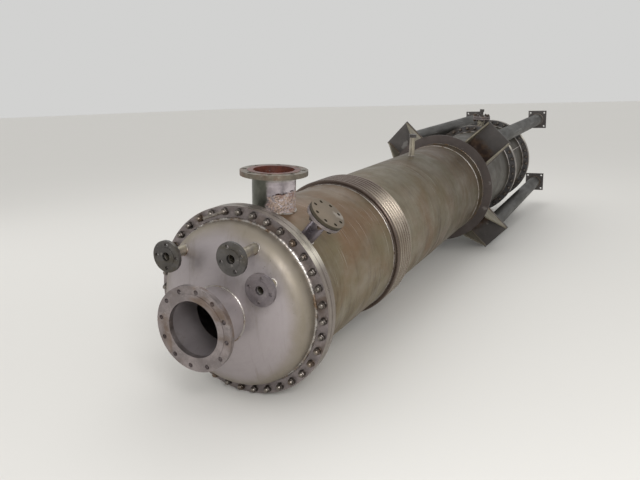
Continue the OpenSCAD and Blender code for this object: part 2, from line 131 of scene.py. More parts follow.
class BoltSizes(bpy.types.PropertyGroup):
    girth_stud: length("Girth stud", "Diameter of the studs through the girth flanges", 0.020)
    girth_nut: length("Girth nut", "Width across flats of the girth nuts", 0.030)
    cover_stud: length("Cover stud", "Diameter of the studs that hold the small covers", 0.016)
    cover_nut: length("Cover nut", "Width across flats of the cover nuts", 0.024)
    spare_thread: length("Spare thread", "Length of thread that stands out of a nut", 0.010)
    long_stud: length("Long stud", "Length of the one stud that stands far out of the front joint", 0.165)
    long_thick: length("Long stud's diameter", "Diameter of that stud", 0.015)
    sunk: length("Sunk end", "Depth of the stud ends in the angled nozzle's cover", 0.006)


class WeldSizes(bpy.types.PropertyGroup):
    seam: length("Seam", "Half width of the welds along and around the shell", 0.0055)
    fillet: length("Fillet", "Half width of the welds at nozzles and lugs", 0.0060)
    ripple: length("Ripple", "Distance between the ripples of a weld", 0.007)


class SteelColours(bpy.types.PropertyGroup):
    olive: colour("Olive", "Heat tint on the shell", (118, 107, 82))
    brown: colour("Brown", "Brown tint on the shell", (122, 96, 70))
    satin: colour("Satin", "Clean dished ends", (166, 158, 159))
    film: colour("Film", "Soiled rim of the dished ends", (136, 127, 110))
    flange: colour("Flange", "Faces of the flanges", (150, 141, 140))
    dark_flange: colour("Dark flange", "Faces of the two dark head nozzles", (100, 97, 95))
    pale_flange: colour("Pale flange", "Face of the head nozzle on the right", (142, 134, 137))
    bellows: colour("Bellows", "Crests of the bellows", (200, 188, 173))
    # Painted shade and dark reflection on the front and top of the bellows
    dull: colour("Dull", "Dull front and top of the bellows", (92, 80, 74))
    bright: colour("Bright", "Polished bellows and pipes", (190, 184, 178))
    support: colour("Support", "Lug plates and foot plates", (98, 94, 92))
    ring: colour("Ring", "Support ring", (98, 90, 87))
    gusset: colour("Gusset", "Gussets of the lugs", (140, 133, 117))
    cover: colour("Cover", "Cover of the angled nozzle", (126, 114, 99))
    leg: colour("Leg", "Pipe legs", (62, 60, 56))
    nut: colour("Nut", "Nuts and washers", (92, 86, 82))
    stud: colour("Stud", "Stud ends", (134, 127, 120))
    rust: colour("Rust", "Inside of the open nozzle", (96, 50, 39))
    residue: colour("Residue", "Torn lining left on the top nozzle", (172, 151, 137))
    gasket: colour("Gasket", "Edges of the gaskets", (46, 44, 42))


class StageSettings(bpy.types.PropertyGroup):
    floor: colour("Floor", "Plain floor", (214, 212, 208))
    key_power: number("Key lamp", "Power of the lamp by the camera in watts", 135, 0)
    top_power: number("Top lamp", "Power of the lamp overhead in watts", 75, 0)
    lens: number("Lens", "Focal length of the camera in millimetres", 35, 10)


# Modelling helpers

def clear_selection():
    bpy.ops.object.select_all(action="DESELECT")


def take(obj):
    """Selects one object alone and makes it the active one."""
    clear_selection()
    obj.select_set(True)
    bpy.context.view_layer.objects.active = obj


def edit_faces(obj, test):
    """Opens the mesh for editing with the faces selected that pass a test."""
    mesh = obj.data
    for group in (mesh.vertices, mesh.edges, mesh.polygons):
        group.foreach_set("select", [False] * len(group))
    for face in mesh.polygons:
        face.select = test(face)
    take(obj)
    bpy.ops.object.mode_set(mode="EDIT")
    bpy.ops.mesh.select_mode(type="FACE")


def done():
    bpy.ops.object.mode_set(mode="OBJECT")


def turned_to(place, direction, spin=0.0):
    """Matrix that sets a shape drawn on Z at a place, looking along a direction."""
    turn = direction.to_track_quat("Z", "Y").to_matrix().to_4x4()
    return Matrix.Translation(place) @ turn @ Matrix.Rotation(spin, 4, "Z")


def join(parts):
    clear_selection()
    for part in parts:
        part.select_set(True)
    bpy.context.view_layer.objects.active = parts[0]
    bpy.ops.object.join()
    return bpy.context.view_layer.objects.active


def copies(template, places):
    """One mesh of the template at each place, each with its own data, then joined."""
    made = []
    for place in places:
        twin = template.copy()
        twin.data = template.data.copy()
        twin.data.transform(place)
        bpy.context.scene.collection.objects.link(twin)
        made.append(twin)
    bpy.data.objects.remove(template)
    return join(made)


def settle(obj, name, material, smooth):
    """Sets a piece drawn on the vessel's axes into the row, names it and finishes it."""
    take(obj)
    bpy.ops.object.transform_apply(location=True, rotation=True, scale=True)
    obj.data.transform(LYING)
    obj.name = name
    obj.data.name = name
    bpy.ops.object.shade_smooth_by_angle(angle=math.radians(smooth))
    obj.data.materials.clear()
    obj.data.materials.append(material)
    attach(obj, "root")


# Nodes of the finishes

class Finish:
    """A material whose patterns read the vessel's own axes."""

    def __init__(self, name, metal, rough):
        self.material = bpy.data.materials.new(name)
        self.material.use_nodes = True
        self.tree = self.material.node_tree
        self.shader = self.tree.nodes["Principled BSDF"]
        self.put(self.shader, Metallic=metal, Roughness=rough)
        spot = self.add("ShaderNodeTexCoord").outputs["Object"]
        self.place = self.mapped(spot, turn=UPRIGHT.to_euler(), shift=UPRIGHT.translation)
        parts = self.add("ShaderNodeSeparateXYZ", self.place)
        self.x, self.y, self.z = parts.outputs
        self.radius = self.calc("SQRT", self.plus(self.times(self.x, self.x), self.times(self.z, self.z)))

    def add(self, kind, *inputs, **settings):
        node = self.tree.nodes.new(kind)
        for key, value in settings.items():
            setattr(node, key, value)
        for socket, value in zip(node.inputs, inputs):
            self.feed(socket, value)
        return node

    def feed(self, socket, value):
        if isinstance(value, bpy.types.NodeSocket):
            self.tree.links.new(value, socket)
        elif value is not None:
            socket.default_value = value

    def put(self, node, **values):
        """Feeds inputs of a node by their names."""
        for key, value in values.items():
            self.feed(node.inputs[key], value)

    def mapped(self, vector, scale=(1, 1, 1), turn=(0, 0, 0), shift=(0, 0, 0)):
        node = self.add("ShaderNodeMapping", vector)
        self.put(node, Location=shift, Rotation=turn, Scale=scale)
        return node.outputs[0]

    def calc(self, operation, *values):
        return self.add("ShaderNodeMath", *values, operation=operation).outputs[0]

    def times(self, a, b):
        return self.calc("MULTIPLY", a, b)

    def plus(self, a, b):
        return self.calc("ADD", a, b)

    def vector(self, operation, *values):
        return self.add("ShaderNodeVectorMath", *values, operation=operation)

    def offset(self, point):
        """Vector from a point to the shaded spot."""
        return self.vector("SUBTRACT", self.place, tuple(point)).outputs[0]

    def rise(self, direction):
        """How far the shaded spot lies along a direction."""
        return self.vector("DOT_PRODUCT", self.place, tuple(direction)).outputs["Value"]

    def span(self, value, low, high, to_low=0.0, to_high=1.0):
        """Turns a value between low and high into 0 to 1, or what is asked."""
        node = self.add("ShaderNodeMapRange", value, low, high, to_low, to_high)
        node.interpolation_type = "SMOOTHSTEP"
        return node.outputs[0]

    def noise(self, scale, stretch=(1, 1, 1), detail=4, rough=0.6, warp=0.0, vector=None):
        vector = self.mapped(self.place if vector is None else vector, scale=stretch)
        node = self.add("ShaderNodeTexNoise", vector)
        self.put(node, Scale=scale, Detail=detail, Roughness=rough, Distortion=warp)
        return node.outputs["Fac"]

    def blots(self, scale, low, high, to=(0.0, 1.0), **settings):
        """Noise turned into blots: 0 where it is below low and 1 above high, or what is asked."""
        return self.span(self.noise(scale, **settings), low, high, *to)

    def spread(self, to_low, to_high, scale, **settings):
        """Noise spread between two values, as a roughness takes it."""
        return self.blots(scale, 0.3, 0.7, (to_low, to_high), **settings)

    def frayed(self, value, amount, scale, **settings):
        """A value whose edges are made ragged by noise."""
        return self.plus(value, self.times(self.noise(scale, **settings), amount))

    def specks(self, scale, low, high):
        """1 inside small round specks, 0 elsewhere."""
        node = self.add("ShaderNodeTexVoronoi", self.place)
        self.put(node, Scale=scale)
        return self.span(node.outputs["Distance"], high, low)

    def mix(self, share, a, b, blend="MIX"):
        node = self.add("ShaderNodeMix", data_type="RGBA", blend_type=blend)
        self.feed(node.inputs[0], share)
        for socket, value in ((node.inputs[6], a), (node.inputs[7], b)):
            self.feed(socket, (*value, 1) if isinstance(value, tuple) else value)
        return node.outputs[2]

    def lay(self, base, mask, share, chip):
        """Lays a share of a colour over the base inside a mask."""
        return self.mix(self.times(mask, share), base, chip)

    def wiped_arc(self, start):
        """1 on the vessel's upper right, where rims, welds and bellows get a painted highlight."""
        turn = self.calc("ARCTAN2", self.z, self.x)
        return self.times(self.span(turn, start, 0.62), self.span(turn, 1.0, 0.72))

    def rusted(self, base, place, direction, bore):
        """Rust inside a bore, and where it is."""
        rust = paint("rust")
        across = self.vector("CROSS_PRODUCT", self.offset(place), tuple(direction)).outputs[0]
        away = self.vector("LENGTH", across).outputs["Value"]
        within = self.span(away, bore + 0.0016, bore + 0.0008)
        flakes = self.mix(self.blots(22, 0.35, 0.7, detail=5), rust, shade(rust, 0.4))
        return self.mix(within, base, flakes), within

    def close(self, base, rough=None, bump=None, height=0.0004, metal=None):
        """Joins the patterns to the shader."""
        self.feed(self.shader.inputs["Base Color"], base)
        self.put(self.shader, Roughness=rough, Metallic=metal)
        if bump is not None:
            node = self.add("ShaderNodeBump")
            self.put(node, Strength=1, Distance=height, Height=bump)
            self.put(self.shader, Normal=node.outputs[0])
        return self.material


def shade(chip, factor):
    return tuple(c * factor for c in chip)


def blended(a, b, share):
    return tuple(p + (q - p) * share for p, q in zip(a, b))


def paint(key):
    """One of the panel's colours."""
    return tuple(getattr(bpy.context.scene.steel_colours, key))


def rolled_shell(name):
    """Weathered rolled shell: olive and brown tint, streaks round it, scratches, specks, and painted shade
    on its top, towards the rear and behind the support ring.
    """
    olive, brown = paint("olive"), paint("brown")
    f = Finish(name, metal=0.7, rough=0.46)
    patches = f.blots(1.6, 0.38, 0.66, detail=5, warp=0.6)
    base = f.mix(patches, olive, brown)
    cloud = f.blots(4.5, 0.35, 0.75, stretch=(1, 0.6, 1), detail=6, rough=0.7)
    base = f.lay(base, cloud, 0.55, blended(olive, (0.36, 0.33, 0.29), 0.6))
    streaks = f.blots(3.6, 0.46, 0.70, stretch=(1, 4, 1), detail=6, rough=0.7, warp=0.4)
    low = f.span(f.frayed(f.z, 0.4, 2, detail=2), 0.45, 0.0, 0.35, 0.8)
    base = f.lay(base, streaks, low, shade(brown, 0.40))
    runs = f.blots(3.0, 0.58, 0.76, stretch=(1, 12, 1), detail=4, warp=0.4)
    base = f.lay(base, runs, 0.28, blended(olive, (0.58, 0.54, 0.48), 0.5))
    drips = f.blots(5.0, 0.58, 0.76, stretch=(3.2, 1.0, 0.35), detail=4, rough=0.5)
    base = f.lay(base, drips, 0.30, shade(olive, 0.5))
    foot = (TOP_PLACE.x, TOP_PLACE.y, SHELL_RADIUS)
    away = f.vector("LENGTH", f.offset(foot)).outputs["Value"]
    burnt = f.span(f.frayed(away, 0.25, 4, detail=4), 0.42, 0.25, 0.0, 0.6)
    base = f.mix(burnt, base, tone(134, 100, 70))
    # Painted shade: darker grey behind the support ring's front face.
    ring = reach("support_ring")[0].y
    base = f.mix(f.span(f.y, ring, ring + 0.02, 0.0, 0.8), base, tone(92, 90, 84))
    scratches = f.blots(1.4, 0.66, 0.69, stretch=(2.0, 110, 2.0), detail=2, rough=0.4, warp=0.2)
    wear = f.blots(2.5, 0.5, 0.6, detail=2)
    base = f.lay(base, f.times(scratches, wear), 0.5, (0.60, 0.57, 0.52))
    specks = f.times(f.specks(26, 0.05, 0.16), f.blots(3.1, 0.52, 0.62))
    base = f.lay(base, specks, 0.6, shade(brown, 0.35))
    # Painted shade: the top of the shell is darker.
    base = f.mix(f.span(f.z, 0.20, 0.40, 0.0, 0.7), base, (0.62, 0.62, 0.62), "MULTIPLY")
    # Painted shade: darker from the front of the main shell back towards the support ring.
    rear = f.span(f.y, reach("main_shell")[0].y - 0.3, ring - 0.2, 0.0, 0.85)
    base = f.mix(rear, base, (0.5, 0.49, 0.46), "MULTIPLY")
    rough = f.spread(0.38, 0.58, 6, detail=5)
    grain = f.noise(30, stretch=(1, 18, 1), detail=3)
    dents = f.noise(1.8, detail=1)
    height = f.plus(f.times(grain, 0.18), f.times(dents, 5.0))
    return f.close(base, rough, height, 0.0006)


def satin_end(name):
    """Dished end: satin grey in the middle, olive film towards its rim, faint rings."""
    satin, film = paint("satin"), paint("film")
    f = Finish(name, metal=0.72, rough=0.36)
    swirl = f.add("ShaderNodeCombineXYZ", f.radius, f.y, f.calc("ARCTAN2", f.z, f.x)).outputs[0]
    rings = f.noise(60, stretch=(1, 0, 0.05), detail=4, vector=swirl)
    clouds = f.noise(3.4, detail=5, warp=0.5)
    rim = f.span(f.plus(f.radius, f.times(clouds, 0.10)), 0.36, 0.45)
    base = f.mix(f.times(rim, 0.85), satin, film)
    stain = f.blots(7, 0.52, 0.72, stretch=(1, 1, 0.5), detail=6, rough=0.7)
    base = f.lay(base, stain, 0.35, shade(film, 0.82))
    base = f.mix(f.span(rings, 0.35, 0.75, 0.0, 0.16), base, shade(satin, 0.72))
    runs = f.blots(7, 0.58, 0.7, stretch=(4, 1, 0.22), detail=4)
    base = f.lay(base, runs, 0.22, shade(film, 0.75))
    specks = f.times(f.specks(34, 0.04, 0.13), f.span(clouds, 0.5, 0.6))
    base = f.lay(base, specks, 0.5, shade(film, 0.5))
    rough = f.plus(f.spread(0.40, 0.54, 9, detail=4), f.times(rim, 0.12))
    height = f.frayed(f.times(rings, 0.25), 5.0, 2.4, detail=1)
    return f.close(base, rough, height, 0.0005)


def flange_steel(name, rim_radius, flange, tint, inside=None):
    """Dark pickled flange face with worn patches; the rim beyond rim_radius is bright with a painted
    highlight on its upper right, a bore rusty.
    """
    bright, brown = paint("bright"), paint("brown")
    f = Finish(name, metal=0.8, rough=0.42)
    mottle = f.blots(16, 0.36, 0.68, detail=6, rough=0.7)
    base = f.mix(mottle, shade(flange, 0.66), flange)
    stains = f.blots(7, 0.5, 0.7, detail=4, warp=0.8)
    base = f.lay(base, stains, 0.55, tint)
    worn = f.blots(38, 0.6, 0.72, detail=3)
    base = f.lay(base, worn, 0.35, blended(flange, bright, 0.6))
    rough, metal = f.spread(0.32, 0.56, 20, detail=3), None
    if rim_radius:
        rim = f.span(f.radius, rim_radius - 0.0012, rim_radius - 0.0004)
        streaks = f.blots(3, 0.4, 0.7, stretch=(1, 60, 1), detail=4)
        turned = f.mix(streaks, blended(shade(bright, 0.42), brown, 0.3),
                       shade(blended(bright, brown, 0.35), 0.72))
        base = f.lay(base, rim, 0.9, turned)
        rough = f.calc("SUBTRACT", rough, f.times(rim, 0.05))
        # Painted highlight in streaks on the rim's upper right.
        rubbed = f.blots(5, 0.3, 0.5, stretch=(1, 30, 1), detail=3, to=(0.4, 1.0))
        base = f.lay(base, f.times(f.wiped_arc(0.4), rubbed), rim, (0.90, 0.84, 0.72))
    if inside:
        base, within = f.rusted(base, *inside)
        metal = f.span(within, 0.0, 1.0, 0.8, 0.0)
    return f.close(base, rough, f.noise(120, detail=3), 0.00025, metal)


def polished(name, low, high, soil, start):
    """Bright steel, with soiling and painted shade where its radius is near low, a painted highlight on the
    upper right, and painted shade behind start and on the far upper side.
    """
    bright, dull = paint("bellows"), paint("dull")
    f = Finish(name, metal=0.85, rough=0.30)
    # Soiling and painted shade in the hollows, where the radius is near low.
    clean = f.span(f.radius, low, high)
    cloud = f.blots(5, 0.38, 0.7, detail=5, warp=0.4)
    dirt = f.times(f.calc("SUBTRACT", 1.0, clean), 0.85)
    # Painted highlight on the upper right; elsewhere a darker copy, painted shade.
    base = f.mix(f.wiped_arc(0.1), shade(bright, 0.56), shade(bright, 1.1))
    base = f.lay(base, cloud, 0.4, shade(soil, 1.6))
    base = f.mix(dirt, base, soil)
    # Painted shade and dark reflection on the first convolution behind start and on the far upper side.
    first = f.span(f.y, start + 0.052, start + 0.038, 0.0, 0.85)
    side = f.span(f.frayed(f.x, 0.08, 6, detail=3), 0.34, 0.20, 0.0, 0.9)
    base = f.mix(f.calc("MAXIMUM", first, side), base, dull)
    lines = f.noise(4, stretch=(1, 60, 1), detail=3)
    base = f.mix(f.span(lines, 0.45, 0.75, 0, 0.25), base, shade(bright, 0.5))
    return f.close(base, f.spread(0.22, 0.36, 12, detail=3), lines, 0.0002)


def pipe_steel(name, chip, lining=None, inside=None):
    """Silver pipe; lining adds painted shade on its left side and torn residue low down, inside the rusty
    bore.
    """
    residue = paint("residue")
    f = Finish(name, metal=0.85, rough=0.34)
    mottle = f.blots(14, 0.35, 0.7, detail=5, rough=0.65)
    base = f.mix(mottle, shade(chip, 0.58), shade(chip, 0.86))
    smear = f.blots(9, 0.5, 0.7, stretch=(1, 1, 0.4), detail=4)
    base = f.lay(base, smear, 0.5, tone(98, 90, 104))
    metal, rough = None, f.spread(0.26, 0.46, 18, detail=3)
    height = f.noise(60, detail=3)
    if lining:
        place, direction, high, side = lining
        rise = f.rise(direction)
        across = f.plus(f.times(f.x, 0.87), f.times(f.calc("SUBTRACT", f.y, place.y), 0.5))
        edge = f.frayed(f.calc("SUBTRACT", rise, f.times(across, 0.12)), 0.045, 24, detail=3)
        below = f.span(edge, high + 0.024, high + 0.022)
        facing = f.span(f.frayed(across, 0.08, 10, detail=3), side, side + 0.02)
        # Painted shade: the pipe's left side is darker.
        base = f.mix(f.calc("SUBTRACT", 1.0, facing), base, (0.34, 0.37, 0.33), "MULTIPLY")
        smooth = f.times(facing, f.span(rise, high + 0.075, high + 0.065))
        cloud = f.blots(12, 0.4, 0.65, stretch=(1, 1, 2), detail=5)
        lilac = f.mix(cloud, tone(164, 154, 160), tone(212, 202, 208))
        base = f.lay(base, smooth, 0.75, lilac)
        lip = f.times(f.span(edge, high + 0.020, high + 0.022), f.span(edge, high + 0.030, high + 0.026))
        gaps = f.times(f.blots(30, 0.45, 0.55, detail=2), facing)
        base = f.lay(base, lip, gaps, shade(paint("rust"), 0.2))
        holes = f.blots(46, 0.43, 0.50, detail=6, rough=0.8, stretch=(1, 1, 1.6))
        patch = f.times(f.times(below, facing), holes)
        flecks = f.blots(110, 0.42, 0.60, detail=4, rough=0.7)
        torn = f.mix(flecks, residue, shade(residue, 0.36))
        torn = f.mix(f.blots(15, 0.45, 0.60, detail=5, to=(0.0, 0.75)), torn, tone(122, 92, 84))
        base = f.mix(patch, base, torn)
        metal = f.span(patch, 0.2, 0.8, 0.85, 0.0)
        rough = f.mix(patch, rough, (0.85, 0.85, 0.85))
        height = f.plus(height, f.times(patch, 0.8))
    if inside:
        base, within = f.rusted(base, *inside)
        metal = f.times(f.calc("SUBTRACT", 1.0, within), 0.85 if metal is None else metal)
    return f.close(base, rough, height, 0.0004, metal)


def plain_steel(name, chip, stretch, rough_low, rough_high, metal=0.7, rim=None, burnt=None):
    """Mill steel with lines, dust and scuffs; the rim of a cover is darker, a lug darker brown near the
    shell.
    """
    f = Finish(name, metal=metal, rough=rough_low)
    drawn = tuple(min(s, 1) for s in stretch)
    lines = f.noise(5, stretch=stretch, detail=4)
    base = f.mix(f.span(lines, 0.35, 0.7), shade(chip, 0.74), chip)
    cloud = f.blots(4, 0.45, 0.7, stretch=drawn, detail=5, warp=0.5)
    base = f.lay(base, cloud, 0.35, shade(chip, 0.62))
    scuffs = f.blots(8, 0.62, 0.70, stretch=stretch, detail=3)
    base = f.lay(base, scuffs, 0.35, blended(chip, (0.7, 0.68, 0.65), 0.5))
    specks = f.times(f.specks(40, 0.05, 0.15), f.blots(4.3, 0.5, 0.6))
    base = f.lay(base, specks, 0.6, shade(chip, 0.3))
    if rim:
        direction, face = rim
        edge = f.span(f.rise(direction), face - 0.001, face - 0.002)
        base = f.mix(edge, base, (0.36, 0.37, 0.33), "MULTIPLY")
    if burnt:
        ragged = f.frayed(f.radius, 0.22, 9, detail=6, rough=0.7)
        scorch = f.mix(f.blots(14, 0.4, 0.65, detail=4), tone(62, 44, 36), tone(104, 80, 60))
        base = f.mix(f.span(ragged, burnt + 0.09, burnt + 0.02, 0.0, 0.8), base, scorch)
    rough = f.spread(rough_low, rough_high, 10, stretch=drawn, detail=4)
    return f.close(base, rough, f.noise(70, detail=3), 0.0003)


def gasket_edge(name):
    chip = paint("gasket")
    f = Finish(name, metal=0.0, rough=0.8)
    base = f.mix(f.blots(50, 0.4, 0.7, detail=4), chip, shade(chip, 2.2))
    return f.close(base, f.spread(0.65, 0.9, 30), f.noise(160), 0.0003)


def weld_bead(name, chip, wiped):
    """Brushed weld with brown tint and a painted highlight on the upper right."""
    f = Finish(name, metal=0.85, rough=0.34)
    tint = f.blots(20, 0.42, 0.7, detail=3)
    base = f.mix(tint, shade(chip, 0.75), shade(paint("brown"), 0.8))
    dark = f.blots(70, 0.55, 0.7, detail=3)
    base = f.lay(base, dark, 0.5, shade(chip, 0.25))
    # Painted highlight on the upper right.
    base = f.lay(base, f.wiped_arc(0.1), wiped, (0.80, 0.76, 0.73))
    return f.close(base, f.spread(0.25, 0.5, 40), f.noise(300, detail=2), 0.0003)


def bolt_steel(name, chip):
    """Greasy bolt steel with grime and a brown tint."""
    f = Finish(name, metal=0.9, rough=0.3)
    grime = f.blots(55, 0.45, 0.68, detail=4)
    base = f.mix(grime, chip, shade(chip, 0.42))
    tint = f.blots(9, 0.5, 0.7, detail=2)
    base = f.lay(base, tint, 0.5, shade(paint("brown"), 0.8))
    return f.close(base, f.spread(0.3, 0.5, 80), f.noise(260, detail=2), 0.0002)


FINISHES = {}


def finish(name, maker, *args):
    """The finish of that name, made once."""
    if name not in FINISHES:
        FINISHES[name] = maker(name, *args)
    return FINISHES[name]


def bright_weld():
    return finish("weld_bead", weld_bead, paint("bright"), 0.65)


def four(name):
    """The four nodes of that name."""
    return ["%s_%d" % (name, i) for i in NUMBERS]


def dress(material, *nodes):
    """Gives CAD nodes a finish."""
    for node in nodes:
        mesh = frame["nodes"][node].data
        mesh.materials.clear()
        mesh.materials.append(material)


# Bolts

# Shares of the stud's diameter: height and radius of a washer, height of a nut, root of a thread
WASHER = 0.15
WASHER_RADIUS = 0.92
NUT = 0.8
THREAD_ROOT = 0.90
# Bolts sit at turns that don't repeat, and the two ends of one bolt differ
BOLT_TURN = 2.399
END_TURN = 0.7
# Edges sharper than this many degrees stay sharp
BOLT_EDGES = 25
WELD_EDGES = 60


def looks_up(face):
    return face.normal.z > 0.9


def model_round(sides, radius, base, height):
    """Prism of that many sides, its base at that height on Z."""
    bpy.ops.mesh.primitive_cylinder_add(vertices=sides, radius=radius, depth=height,
                                        location=(0, 0, base + height / 2))
    bpy.ops.object.transform_apply(location=True)
    return bpy.context.active_object


def model_nut(across, height):
    """Hexagon nut with chamfered corners, its base at Z 0."""
    nut = model_round(6, across / math.sqrt(3), 0, height)
    edit_faces(nut, lambda face: abs(face.normal.z) > 0.9)
    bpy.ops.mesh.bevel(offset=across * 0.07, segments=1, affect="EDGES")
    done()
    return nut


def model_washer(outer, thickness):
    """Round washer with a broken edge, its base at Z 0."""
    washer = model_round(24, outer, 0, thickness)
    edit_faces(washer, looks_up)
    bpy.ops.mesh.bevel(offset=thickness * 0.3, segments=1, affect="EDGES")
    done()
    return washer


def model_thread(diameter, base, rise, turns):
    """End of a threaded stud: ridges drawn out one after another, then a chamfered tip."""
    pitch = rise / turns
    stud = model_round(14, diameter / 2, base, pitch / 2)
    edit_faces(stud, looks_up)
    for turn in range(turns * 2 - 1):
        grow = THREAD_ROOT if turn % 2 == 0 else 1 / THREAD_ROOT
        bpy.ops.mesh.extrude_region_move(TRANSFORM_OT_translate={"value": (0, 0, pitch / 2)})
        middle = (0, 0, base + pitch / 2 * (turn + 2))
        bpy.ops.transform.resize(value=(grow, grow, 1), center_override=middle)
    bpy.ops.mesh.inset(thickness=diameter * 0.08)
    bpy.ops.transform.translate(value=(0, 0, diameter * 0.05))
    done()
    return stud


def model_washered_nut(stud, nut):
    """Washer and nut as they sit on a flange face at Z 0."""
    cap = model_nut(nut, stud * NUT)
    cap.data.transform(Matrix.Translation((0, 0, stud * WASHER)))
    return join([model_washer(stud * WASHER_RADIUS, stud * WASHER), cap])


def model_stud_end(stud, spare):
    """Threaded end as it stands out of its nut on a flange face at Z 0."""
    return model_thread(stud, stud * (WASHER + NUT), spare, 4)


def fit_bolts(name, stud, nut, spare, places):
    """Nuts with washers, and stud ends, at each place."""
    settle(copies(model_washered_nut(stud, nut), places), name + "_nuts",
           finish("nut_steel", bolt_steel, paint("nut")), BOLT_EDGES)
    settle(copies(model_stud_end(stud, spare), places), name + "_studs",
           finish("stud_steel", bolt_steel, paint("stud")), BOLT_EDGES)


def ring_places(centre, direction, radius, count, phase, low, high):
    """Places round a circle: one looking out of each side of the joint between low and high."""
    across = direction.cross(ALONG if abs(direction.y) < 0.9 else RIGHT).normalized()
    upward = direction.cross(across)
    places = []
    for i in range(count):
        angle = phase + i * 2 * math.pi / count
        spot = centre + (across * math.cos(angle) + upward * math.sin(angle)) * radius
        turn = i * BOLT_TURN
        places.append(turned_to(spot + direction * high, direction, turn))
        places.append(turned_to(spot + direction * low, -direction, turn + END_TURN))
    return places


def nozzle_line(name):
    """Direction of a nozzle with a cover, its foot on the axis, and where its joint starts and ends."""
    low, high = reach(name + "_pipe")
    middle = (low + high) / 2
    direction = Vector((middle.x, 0, middle.z)).normalized()
    return direction, ALONG * middle.y, *span_along(direction, name + "_flange", name + "_blind")


class OBJECT_OT_fit_girth_studs(bpy.types.Operator):
    """Fits the studs and nuts of the three girth joints"""
    bl_idname = "object.fit_girth_studs"
    bl_label = "Girth studs"

    def execute(self, context):
        sizes = context.scene.bolt_sizes
        for name, first, last in (("front", "head_girth_flange", "front_tubesheet"),
                                  ("rear", "rear_tubesheet", "rear_channel_flange"),
                                  ("end", "rear_end_flange", "rear_head_flange")):
            low, high = reach(first)[0].y, reach(last)[1].y
            places = ring_places(Vector(), ALONG, BOLT_CIRCLE, GIRTH_BOLTS, NOZZLE_TURN, low, high)
            fit_bolts(name + "_girth", sizes.girth_stud, sizes.girth_nut, sizes.spare_thread, places)
        foot = outward(LONG_STUD_ANGLE + NOZZLE_TURN) * BOLT_CIRCLE
        stud = model_thread(sizes.long_thick, 0, sizes.long_stud, 60)
        stud.data.transform(turned_to(foot, -ALONG))
        settle(stud, "long_girth_stud", FINISHES["stud_steel"], BOLT_EDGES)
        return {"FINISHED"}


class OBJECT_OT_fit_cover_studs(bpy.types.Operator):
    """Fits the studs and nuts of the blind covers on the angled and the rear nozzle"""
    bl_idname = "object.fit_cover_studs"
    bl_label = "Cover studs"

    def execute(self, context):
        sizes = context.scene.bolt_sizes
        for name in ("angled_nozzle", "rear_nozzle"):
            direction, centre, low, high = nozzle_line(name)
            phase = math.pi / COVER_BOLTS
            places = ring_places(centre, direction, COVER_CIRCLE, COVER_BOLTS, phase, low, high)
            if name == "angled_nozzle":
                places = places[1::2]
                stud = model_thread(sizes.cover_stud, 0, high - low - sizes.sunk, 12)
                shafts = copies(stud, [spot @ Matrix.Rotation(math.pi, 4, "X") for spot in places])
                settle(shafts, "sunk_studs", FINISHES["nut_steel"], BOLT_EDGES)
            fit_bolts(name, sizes.cover_stud, sizes.cover_nut, sizes.spare_thread * 0.7, places)
        return {"FINISHED"}


# Welds

# Share of its half width by which a bead stands clear of the shell, or is sunk into it
CLEAR = 0.2
SUNK = 0.35
# Round seam in front of the support ring, and the angles of the long seams from the vessel's right
SEAM_AHEAD = 0.15
LONG_SEAMS = (("front_shell", 205), ("main_shell", 232), ("rear_channel", 25))
SEAM_GAP = 0.02
# Welds of small pipes and gussets against a full fillet
SLIGHT = 0.7
# Lugs: distance of a gusset from the plate's middle, half its thickness, and how far out it reaches
GUSSET_OFF = 0.132
GUSSET_HALF = 0.006
GUSSET_REACH = 0.685
# A station beyond either end of the vessel
FAR = 9.0


def bead(points, half_width, closed):
    """Rippled weld bead along a path on the vessel's axes."""
    line = bpy.data.curves.new("weld", "CURVE")
    line.dimensions = "3D"
    line.bevel_depth = half_width
    line.bevel_resolution = 1
    line.use_fill_caps = True
    spline = line.splines.new("POLY")
    spline.points.add(len(points) - 1)
    for i, (spot, point) in enumerate(zip(spline.points, points)):
        spot.co = (*point, 1)
        spot.radius = (1.0, 1.13, 0.92)[i % 3] * (1 + 0.06 * math.sin(i * 0.37))
    spline.use_cyclic_u = closed
    obj = bpy.data.objects.new("weld", line)
    bpy.context.scene.collection.objects.link(obj)
    take(obj)
    bpy.ops.object.convert(target="MESH")
    return bpy.context.active_object


def steps_along(path_length):
    """Number of points of a bead, three to each ripple."""
    step = bpy.context.scene.weld_sizes.ripple
    return max(24, 3 * round(path_length / step / 3))


def turns_round(radius):
    """Angles of a bead's points round a circle."""
    count = steps_along(2 * math.pi * radius)
    return [i * 2 * math.pi / count for i in range(count)]


def round_weld(centre, across, upward, radius, half_width):
    """Bead round a circle that two directions span."""
    return bead([centre + across * (radius * math.cos(t)) + upward * (radius * math.sin(t))
                 for t in turns_round(radius)], half_width, True)


def ring_weld(radius, station, half_width):
    """Bead round the vessel at a station."""
    return round_weld(ALONG * station, RIGHT, UPWARD, radius, half_width)


def straight_weld(start, end, half_width):
    count = steps_along((end - start).length)
    return bead([start.lerp(end, i / count) for i in range(count + 1)], half_width, False)


def saddle_weld(station, direction, pipe_radius, half_width):
    """Bead where a pipe meets the shell."""
    side = ALONG.cross(direction)
    points = []
    for turn in turns_round(pipe_radius):
        off = pipe_radius * math.cos(turn)
        rise = math.sqrt(SHELL_RADIUS ** 2 - off ** 2)
        points.append(direction * rise + side * off + ALONG * (station + pipe_radius * math.sin(turn)))
    return bead(points, half_width, True)


